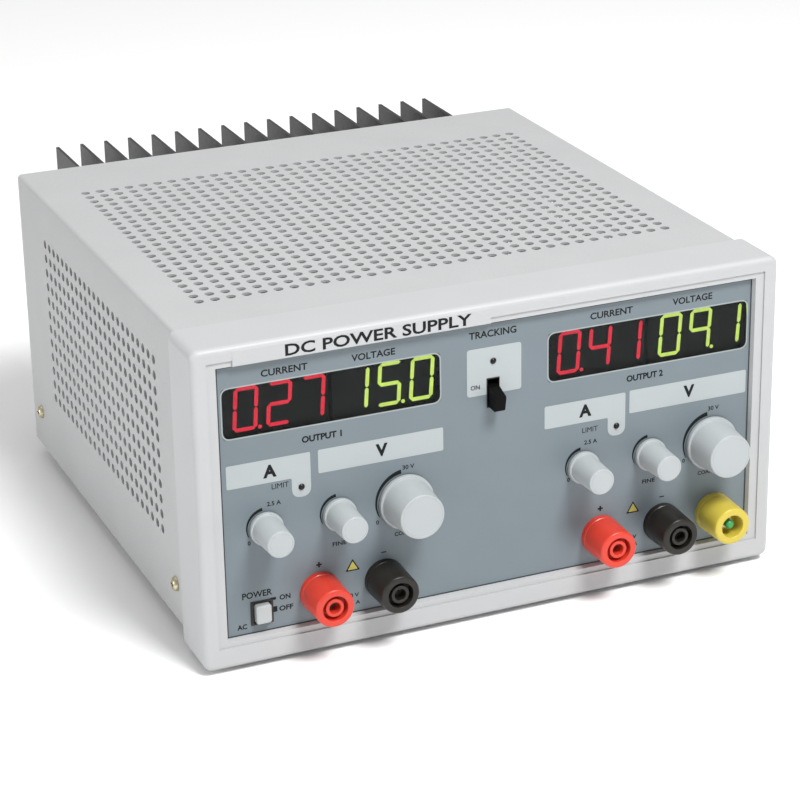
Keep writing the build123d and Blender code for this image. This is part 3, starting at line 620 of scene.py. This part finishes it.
cover_bm = bmesh.new()
near = 0.01 * MM
first_vent_y = bezel_low.y + VENTS_BEHIND_FRONT
cover_sheet(
    cover_bm, 2 * flat_half, cover_length, *TOP_VENTS, 0.0,
    vent_shift(TOP_VENTS[1], first_vent_y, cover_mid_y),
    Matrix.Translation((0, cover_mid_y, cover_high.z)),
    lambda co: abs(abs(co.x) - flat_half) < near,
)
side_height = side_top - cover_low.z
side_mid = (side_top + cover_low.z) / 2
for side in (-1, 1):
    # sheet x runs along the case, sheet y up it, and its top faces away from the case
    turn = Matrix(((0, 0, side), (side, 0, 0), (0, 1, 0))).to_4x4()
    shift_along = side * vent_shift(SIDE_VENTS[0], first_vent_y, cover_mid_y)
    cover_sheet(
        cover_bm, cover_length, side_height, *SIDE_VENTS, shift_along,
        vent_shift(SIDE_VENTS[1], cover_low.z + SIDE_VENTS_LOW, side_mid),
        Matrix.Translation((side * cover_high.x, cover_mid_y, side_mid)) @ turn,
        lambda co: abs(co.z - side_top) < near,
    )
    # the bend between the wall and the top
    arcs = []
    for radius in (BEND, BEND - SHEET):
        for y in (cover_low.y, cover_high.y):
            turns = [math.pi / 2 * k / BEND_STEPS for k in range(BEND_STEPS + 1)]
            arcs.append([cover_bm.verts.new((side * (flat_half + radius * math.sin(t)), y,
                                             side_top + radius * math.cos(t))) for t in turns])
    outer_front, outer_back, inner_front, inner_back = arcs
    for k in range(BEND_STEPS):
        for a, b in ((outer_front, outer_back), (inner_front, inner_back),
                     (outer_front, inner_front), (outer_back, inner_back)):
            cover_bm.faces.new((a[k], a[k + 1], b[k + 1], b[k]))
perforated_cover = finished("perforated_cover", cover_bm, [PAINTS["grey_paint"]])
settle(perforated_cover, "case", "grey_paint", "cover")

# ---- screws -------------------------------------------------------------------------------

pan_heads = screw_rule()


def screw_heads(name, paint, radius, height, recess, places, *stands_for):
    """Heads at (place, outward direction) pairs, in place of the nodes they stand for."""
    mesh = pan_heads.run(points_mesh(places), Radius=radius, Height=height, Recess=recess,
                         Finish=PAINTS[paint])
    settle(placed(name, mesh, [PAINTS[paint]]), "case", "nickel", *stands_for)


HEAD_RADIUS, HEAD_HEIGHT, HEAD_RECESS = 3.4 * MM, 2.1 * MM, 1.2 * MM
cover_screw_places = []
screw_low, screw_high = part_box("cover_screws")
for side in (-1, 1):
    for y, z in ((screw_low.y + HEAD_RADIUS, screw_low.z + HEAD_RADIUS),
                 (screw_high.y - HEAD_RADIUS, screw_high.z - HEAD_RADIUS)):
        cover_screw_places.append(((side * cover_high.x, y, z), (side, 0, 0)))
screw_heads("cover_screw_heads", "yellow_zinc", HEAD_RADIUS, HEAD_HEIGHT, HEAD_RECESS,
            cover_screw_places, "cover_screws")

# ---- knobs ------------------------------------------------------------------------------------

# radii in mm: flange, foot of the grip, tip of the grip, cavity at the back
SMALL_KNOB, LARGE_KNOB = (7.5, 6.7, 6.0, 6.0), (12.5, 11.5, 10.1, 6.5)
KNOB_SHAPES = {"current": SMALL_KNOB, "fine": SMALL_KNOB, "voltage": LARGE_KNOB}
FLANGE_THICK = 2.2 * MM
CAP_RIM, CAP_GROOVE = 1.1 * MM, 0.12 * MM  # width of the cap's rim; half width and depth of its groove
CAVITY_DEEP = 4.0 * MM
SHAFT_BORE_R, SHAFT_BORE_DEEP = 3.02 * MM, 13.4 * MM

for number in (1, 2):
    for use, shape in KNOB_SHAPES.items():
        node = f"{use}_knob_{number}"
        low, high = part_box(node)
        centre = middle(node)
        front, back = low.y, high.y
        flange_front = back - FLANGE_THICK
        flange, root, tip, cavity = (size * MM for size in shape)
        groove = tip - CAP_RIM
        outline = eased([
            (0, front, 0), (groove - CAP_GROOVE, front, 0.04 * MM),
            (groove, front + CAP_GROOVE, 0.04 * MM), (groove + CAP_GROOVE, front, 0.04 * MM),
            (tip, front, 0.7 * MM), (root, flange_front, 0.35 * MM), (flange, flange_front, 0.6 * MM),
            (flange, back, 0.25 * MM), (cavity, back, 0), (cavity, back - CAVITY_DEEP, 0),
            (SHAFT_BORE_R, back - CAVITY_DEEP, 0), (SHAFT_BORE_R, back - SHAFT_BORE_DEEP, 0),
            (0, back - SHAFT_BORE_DEEP, 0),
        ])
        bm = bmesh.new()
        lathe(bm, outline, centre.x, centre.z)
        settle(finished(f"{use}_dial_{number}", bm, [PAINTS["knob_plastic"]]),
               body_of(node), "knob_plastic", node)

# ---- binding posts ---------------------------------------------------------------------------

POST_COLOURS = {"red_1": "red_plastic", "red_2": "red_plastic", "black_1": "black_plastic",
                "black_2": "black_plastic", "earth": "yellow_plastic"}
POST_TAPER = 0.5 * MM
STUD_BORE_R, STUD_INSET = 3.05 * MM, 6.6 * MM
SOCKET_R, SOCKET_LIP = 2.6 * MM, 0.8 * MM  # the insulating sleeve round the 4 mm socket
RING_IN, RING_OUT, RING_DEEP = 4.1 * MM, 5.7 * MM, 5.0 * MM  # the groove round the sleeve
EARTH_BORE_R, EARTH_BORE_DEEP = 5.3 * MM, 8.0 * MM

for name, slot in POST_COLOURS.items():
    node = f"post_cap_{name}"
    low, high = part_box(node)
    centre = middle(node)
    radius = (high.x - low.x) / 2
    front, back = low.y, high.y
    sleeve_end = front + STUD_INSET - 0.3 * MM
    if name == "earth":
        mouth = [(STUD_BORE_R, front + EARTH_BORE_DEEP, 0), (EARTH_BORE_R, front + EARTH_BORE_DEEP, 0),
                 (EARTH_BORE_R, front, 0.5 * MM)]
    else:
        mouth = [
            (STUD_BORE_R, sleeve_end, 0), (SOCKET_R, sleeve_end, 0),
            (SOCKET_R, front + SOCKET_LIP, 0.25 * MM), (RING_IN, front + SOCKET_LIP, 0.25 * MM),
            (RING_IN, front + RING_DEEP, 0.2 * MM), (RING_OUT, front + RING_DEEP, 0.2 * MM),
            (RING_OUT, front, 0.3 * MM),
        ]
    outline = eased([(STUD_BORE_R, back, 0), *mouth, (radius - POST_TAPER, front, 1.2 * MM),
                     (radius, back, 0.4 * MM)])
    bm = bmesh.new()
    lathe(bm, outline, centre.x, centre.z)
    settle(finished(f"post_{name}_cap", bm, [PAINTS[slot]]), body_of(node), slot, node)

# ---- display digits ------------------------------------------------------------------------

DIGIT_HEIGHT, DIGIT_WIDTH, STROKE = 19.8 * MM, 10.9 * MM, 1.65 * MM
SLANT = math.tan(math.radians(4.0))
SEGMENT_GAP = 0.07 * MM  # half of the gap between two segments
DOT_RADIUS, DOT_ASIDE = 0.85 * MM, 2.1 * MM
LIT_THICK = 0.15 * MM
SEGMENTS = {"0": "abcdef", "1": "bc", "2": "abged", "4": "fgbc", "5": "afgcd", "7": "abc", "9": "abcfg"}
READINGS = {
    "red_digits_1": "0.27", "green_digits_1": "15.0",
    "red_digits_2": "0.41", "green_digits_2": "09.1",
}
DIGIT_PITCH = 14.9 * MM
DIGIT_SHIFT = {"red": 1.7 * MM, "green": 2.5 * MM}


def bar(bm, start, end, lean, front, back):
    """One segment from start to end: a stroke with pointed ends, sheared with the digit."""
    along = (end - start).normalized()
    side = Vector((-along.y, along.x)) * STROKE / 2
    a, b = start + along * SEGMENT_GAP, end - along * SEGMENT_GAP
    tip = along * STROKE / 2
    corners = [a, a + tip + side, b - tip + side, b, b - tip - side, a + tip - side]
    slab(bm, [lean(p) for p in corners], front, back)


for node, reading in READINGS.items():
    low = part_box(node)[0]
    tint = node.split("_")[0]
    centre_x, centre_z = middle(node).x + DIGIT_SHIFT[tint], middle(node).z
    colour = red_light if tint == "red" else green_light
    bm = bmesh.new()
    front, back = low.y - LIT_THICK, low.y
    right, top = (DIGIT_WIDTH - STROKE) / 2, (DIGIT_HEIGHT - STROKE) / 2
    corner = {
        "a": ((-right, top), (right, top)), "b": ((right, top), (right, 0)),
        "c": ((right, 0), (right, -top)),
        "d": ((right, -top), (-right, -top)), "e": ((-right, -top), (-right, 0)),
        "f": ((-right, 0), (-right, top)), "g": ((-right, 0), (right, 0)),
    }
    digits = reading.replace(".", "")
    for place, digit in enumerate(digits):
        digit_x = centre_x + (place - 1) * DIGIT_PITCH

        def lean(point, digit_x=digit_x):
            return (digit_x + point.x + point.y * SLANT, centre_z + point.y)

        for segment in SEGMENTS[digit]:
            start, end = corner[segment]
            bar(bm, Vector(start), Vector(end), lean, front, back)
        if reading.index(".") == place + 1:
            slab(bm, disc(*lean(Vector((right + DOT_ASIDE, -top))), DOT_RADIUS), front, back)
    settle(finished(f"{node}_lit", bm, [colour], INK_EDGE), "case", None)

# ---- printing on the panel -------------------------------------------------------------------

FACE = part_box("front_panel")[0].y
INK = 0.05 * MM

# white blocks, corners in mm as (x, z, ease): the A block of each output has a tab for its lamp, and
# the block of the tracking switch is notched round the lever
label_bm = bmesh.new()
for outline in (
    [(-122.9, 84, 0.8), (-94.0, 84, 0.8), (-94.0, 74.8, 4.1), (-85.4, 74.8, 4.1),
     (-85.4, 94.6, 0.8), (-122.9, 94.6, 0.8)],
    [(-81.9, 84, 0.8), (-24.4, 84, 0.8), (-24.4, 94.7, 0.8), (-81.9, 94.7, 0.8)],
    [(23.8, 84.8, 0.8), (54.7, 84.8, 0.8), (54.7, 75.7, 4.1), (63.3, 75.7, 4.1),
     (63.3, 95.4, 0.8), (23.8, 95.4, 0.8)],
    [(65.3, 85, 0.8), (123.9, 85, 0.8), (123.9, 95.8, 0.8), (65.3, 95.8, 0.8)],
    [(-13, 106.2, 1.4), (-3.9, 106.2, 0), (-3.9, 113.6, 0), (2.3, 113.6, 0), (2.3, 106.2, 0),
     (12.6, 106.2, 1.4), (12.6, 127.8, 1.4), (-13, 127.8, 1.4)],
):
    slab(label_bm, eased([(x * MM, z * MM, r * MM) for x, z, r in outline]), FACE - INK, FACE)
settle(finished("panel_labels", label_bm, [white_ink], INK_EDGE), "case", None)

# words, with the middle, the height of a capital and the width in mm; None leaves the width natural
ink_bm = bmesh.new()
for words, x, z, height, width, weight in (
    ("CURRENT", -95.6, 133.3, 3.1, 20.6, 0.02), ("VOLTAGE", -55.8, 133.3, 3.1, 19.8, 0.02),
    ("CURRENT", 55.9, 133.8, 3.1, 20.6, 0.02), ("VOLTAGE", 95.7, 134.0, 3.1, 19.8, 0.02),
    ("TRACKING", -0.8, 134, 3.2, 22.2, 0.02),
    ("OUTPUT 1", -79.9, 100.6, 3.0, 18, 0.035), ("OUTPUT 2", 72.7, 101.6, 3.0, 18, 0.035),
    ("A", -103.6, 89.2, 5.8, None, 0.045), ("V", -53.0, 89.5, 5.8, None, 0.045),
    ("A", 43.6, 90.3, 5.8, None, 0.045), ("V", 95, 90.5, 5.8, None, 0.045),
    ("LIMIT", -99.2, 81.8, 2.3, 7.6, 0.0), ("LIMIT", 46.0, 80.9, 2.3, 7.6, 0.0),
    ("POWER", -111.4, 33.6, 3.0, 13.5, 0.02),
    ("ON", -98.9, 29.9, 2.4, 5.0, 0.03), ("OFF", -98.5, 24.7, 2.4, 6.4, 0.03),
    ("AC", -118.7, 19.4, 2.4, None, 0.03), ("ON", -9.2, 110.2, 2.1, None, 0.02),
    ("+", -83.0, 41.6, 2.5, None, 0.05), ("+", 51.5, 41.6, 2.5, None, 0.05),
    ("FINE", -73.3, 49.8, 1.9, 6.4, 0.02), ("FINE", 75.6, 50.6, 1.9, 6.4, 0.02),
    ("COARSE", -42.9, 48.8, 1.9, 9.8, 0.02), ("COARSE", 105.5, 49.4, 1.9, 9.8, 0.02),
    ("2.5 A", -102.3, 74.3, 2.0, 6.3, 0.02), ("2.5 A", 46.4, 75.0, 2.0, 6.3, 0.02),
    ("30 V", -40.8, 79.4, 2.0, 5.5, 0.02), ("30 V", 107.8, 80.2, 2.0, 5.5, 0.02),
    ("0", -114.0, 57.9, 2.0, None, 0.03), ("0", 35.6, 58.6, 2.0, None, 0.03),
    ("0", -55.6, 56.0, 2.0, None, 0.03), ("0", 93.2, 57.0, 2.0, None, 0.03),
    ("30 V", -67.8, 23.8, 1.9, 5.6, 0.02), ("2.5 A", -67.8, 20.2, 1.9, 6.6, 0.02),
    ("30 V", 67.2, 24.4, 1.9, 5.6, 0.02), ("2.5 A", 67.2, 20.8, 1.9, 6.6, 0.02),
):
    front = FACE - (INK if words in "AV" else 0)
    write(ink_bm, words, x * MM, z * MM, height * MM, width and width * MM, weight, front)


SCALE_START, SCALE_END = 205, 97  # degrees from the right, counter-clockwise seen from the front


def wedge(bm, centre, inner, thick, start, end, steps=28):
    """Dial scale: an arc that grows from a hairline at start to its full thickness at end, in degrees."""
    outer, back = [], []
    for k in range(steps + 1):
        t = k / steps
        angle = math.radians(start + (end - start) * t)
        reach = inner + thick * (0.12 + 0.88 * t ** 0.7)
        outer.append((centre.x + reach * math.cos(angle), centre.z + reach * math.sin(angle)))
        back.append((centre.x + inner * math.cos(angle), centre.z + inner * math.sin(angle)))
    slab(bm, outer + back[::-1], FACE - INK, FACE)


for number in (1, 2):
    for use, inner, thick in (("current", 8.0, 1.4), ("fine", 8.0, 1.4), ("voltage", 13.1, 1.9)):
        wedge(ink_bm, middle(f"{use}_knob_{number}"), inner * MM, thick * MM, SCALE_START, SCALE_END)

for x0, x1, z0, z1 in (
    (-54.2, -51.8, 41.2, 41.7), (81.3, 83.7, 41.2, 41.7),  # minus signs over the black posts
    (-105.4, -103.0, 29.4, 30.6), (-105.2, -102.6, 23.6, 26.2),  # out and in marks of the mains button
):
    slab(ink_bm, block(x0 * MM, x1 * MM, z0 * MM, z1 * MM), FACE - INK, FACE)
warning_bm = bmesh.new()
for x, z in ((-67.6, 37.6), (67.9, 38.4)):
    # black edging, and a smaller yellow triangle on it
    for bm, scale, front in ((ink_bm, 1.0, FACE - INK), (warning_bm, 0.7, FACE - 2 * INK)):
        half, over, under, ease = 3.3 * MM * scale, 3.6 * MM * scale, 2.0 * MM * scale, 0.4 * MM
        corners = [(x * MM - half, z * MM - under, ease), (x * MM + half, z * MM - under, ease),
                   (x * MM, z * MM + over, ease)]
        slab(bm, eased(corners), front, FACE)
settle(finished("panel_lettering", ink_bm, [black_ink], INK_EDGE), "case", None)
settle(finished("panel_triangles", warning_bm, [yellow_ink], INK_EDGE), "case", None)

# a blank strip let into the bezel's upper shelf, and the lettering on it
BEZEL_FACE = bezel_low.y
STRIP_PROUD, SHELF_DEEP = 0.12 * MM, 0.65 * MM
STRIP_LOW, STRIP_HIGH = 139.6 * MM, 147.0 * MM
STRIP_LEFT, STRIP_RIGHT = -119 * MM, -3 * MM
strip_bm = bmesh.new()
section = [
    (BEZEL_FACE + SHELF_DEEP, STRIP_HIGH), (BEZEL_FACE + 0.2 * MM, STRIP_HIGH),
    (BEZEL_FACE - STRIP_PROUD, STRIP_HIGH - 0.8 * MM), (BEZEL_FACE - STRIP_PROUD, STRIP_LOW + 0.2 * MM),
    (BEZEL_FACE, STRIP_LOW), (BEZEL_FACE + SHELF_DEEP, STRIP_LOW),
]
ends = [[strip_bm.verts.new((x, y, z)) for y, z in section] for x in (STRIP_LEFT, STRIP_RIGHT)]
strip_bm.faces.new(ends[0])
strip_bm.faces.new(ends[1][::-1])
for k in range(len(section)):
    following = (k + 1) % len(section)
    strip_bm.faces.new((ends[0][k], ends[0][following], ends[1][following], ends[1][k]))
settle(finished("name_strip", strip_bm, [PAINTS["bezel_plastic"]], INK_EDGE),
       "case", "bezel_plastic")

name_bm = bmesh.new()
write(name_bm, "DC POWER SUPPLY", -54 * MM, 143.1 * MM, 5.2 * MM, 84 * MM, 0.022,
      BEZEL_FACE - STRIP_PROUD)
settle(finished("bezel_lettering", name_bm, [black_ink], INK_EDGE), "case", None)

# a dark line painted round the panel where it meets the bezel: painted shadow of the gap there, not a
# real seal
OPENING = (-125.5 * MM, 125.5 * MM, 15.5 * MM, 139.0 * MM)
GAP_SHADOW = 0.6 * MM
gap_shadow_bm = bmesh.new()
x0, x1, z0, z1 = OPENING
frame_slab(gap_shadow_bm, block(x0 - GAP_SHADOW, x1 + GAP_SHADOW, z0 - GAP_SHADOW, z1 + GAP_SHADOW),
           block(x0 + GAP_SHADOW, x1 - GAP_SHADOW, z0 + GAP_SHADOW, z1 - GAP_SHADOW), FACE - INK, FACE)
settle(finished("panel_gap_shadow", gap_shadow_bm, [gap_shadow_ink], INK_EDGE), "case", None)

# a pale line round each display window
WINDOW_HALF_W, WINDOW_HALF_H, WINDOW_EASE = 49.0 * MM, 11.2 * MM, 3.4 * MM
LINE_OUT, LINE_IN = 0.5 * MM, -0.1 * MM  # the line's edges, outwards from the window's
window_bm = bmesh.new()
for number in (1, 2):
    centre = middle(f"display_window_{number}")
    outer, inner = (
        block(centre.x - WINDOW_HALF_W - grow, centre.x + WINDOW_HALF_W + grow,
              centre.z - WINDOW_HALF_H - grow, centre.z + WINDOW_HALF_H + grow, ease)
        for grow, ease in ((LINE_OUT, WINDOW_EASE + LINE_OUT), (LINE_IN, WINDOW_EASE))
    )
    frame_slab(window_bm, outer, inner, FACE - INK, FACE)
settle(finished("window_outlines", window_bm, [pale_ink], INK_EDGE), "case", None)

# ---- finishes on the nodes that show as they are ---------------------------------------------

for node, made in NODES.items():
    for index, given in enumerate(made.data.materials):
        made.data.materials[index] = PAINTS[given.name.split(".")[0]]
NODES["tracking_lever"].data.materials[0] = lever_black

# ---- floor, light and camera ---------------------------------------------------------------

FLOOR_HALF = 9.0
floor_finish = Finish("floor_paper", 0.85)
floor_slow = floor_finish.noise(900 * MM, 1.0)
floor_finish.colour(floor_finish.blended(floor_slow, (0.95, 0.95, 0.95), (0.97, 0.97, 0.97)))
floor_finish.bump(floor_finish.noise(1.2 * MM, 2.0), 0.02 * MM)
floor_bm = bmesh.new()
bmesh.ops.create_grid(floor_bm, x_segments=8, y_segments=8, size=FLOOR_HALF)
floor = finished("floor", floor_bm, [floor_finish.material])
floor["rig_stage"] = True

world = bpy.data.worlds.new("studio")
bpy.context.scene.world = world
world.use_nodes = True
world.node_tree.nodes["Background"].inputs["Color"].default_value = (1, 1, 1, 1)
world.node_tree.nodes["Background"].inputs["Strength"].default_value = 0.5


def softbox(name, place, aim, width, height, power):
    """Rectangular lamp at a place, facing a point, with a power in watts."""
    light = bpy.data.lights.new(name, "AREA")
    light.shape = "RECTANGLE"
    light.size, light.size_y, light.energy = width, height, power
    made = bpy.data.objects.new(name, light)
    made.location = place
    made.rotation_mode = "QUATERNION"
    made.rotation_quaternion = (Vector(aim) - Vector(place)).to_track_quat("-Z", "Y")
    bpy.context.scene.collection.objects.link(made)


softbox("key_softbox", (0.3, -1.2, 1.75), (0, 0, 0.06), 0.6, 0.6, 44)
softbox("top_softbox", (0.1, 0.5, 1.7), (0, 0, 0.1), 1.2, 1.2, 5)
softbox("fill_softbox", (-3.0, -0.2, 0.8), (0, 0, 0.07), 1.6, 1.4, 24)

LENS, SENSOR, SHIFT = 119.10, 36.0, (-0.025, -0.025)
AZIMUTH, ELEVATION, ROLL = map(math.radians, (-23.11, 21.92, -0.89))
AIM, DISTANCE = Vector((27.1 * MM, 0, 54.8 * MM)), 1288.7 * MM

back = Vector((math.sin(AZIMUTH) * math.cos(ELEVATION), -math.cos(AZIMUTH) * math.cos(ELEVATION),
               math.sin(ELEVATION)))
level = Vector((0, 0, 1)).cross(back).normalized()
upright = back.cross(level)
right = level * math.cos(ROLL) + upright * math.sin(ROLL)
up = upright * math.cos(ROLL) - level * math.sin(ROLL)

camera_data = bpy.data.cameras.new("camera")
camera_data.lens, camera_data.sensor_width = LENS, SENSOR
camera_data.shift_x, camera_data.shift_y = SHIFT
camera_data.clip_start, camera_data.clip_end = 0.05, 40
camera = bpy.data.objects.new("camera", camera_data)
turned = Matrix((right, up, back)).transposed().to_4x4()
camera.matrix_world = Matrix.Translation(AIM + back * DISTANCE) @ turned
bpy.context.scene.collection.objects.link(camera)
bpy.context.scene.camera = camera
bpy.context.scene.view_settings.view_transform = "Standard"

low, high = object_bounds()
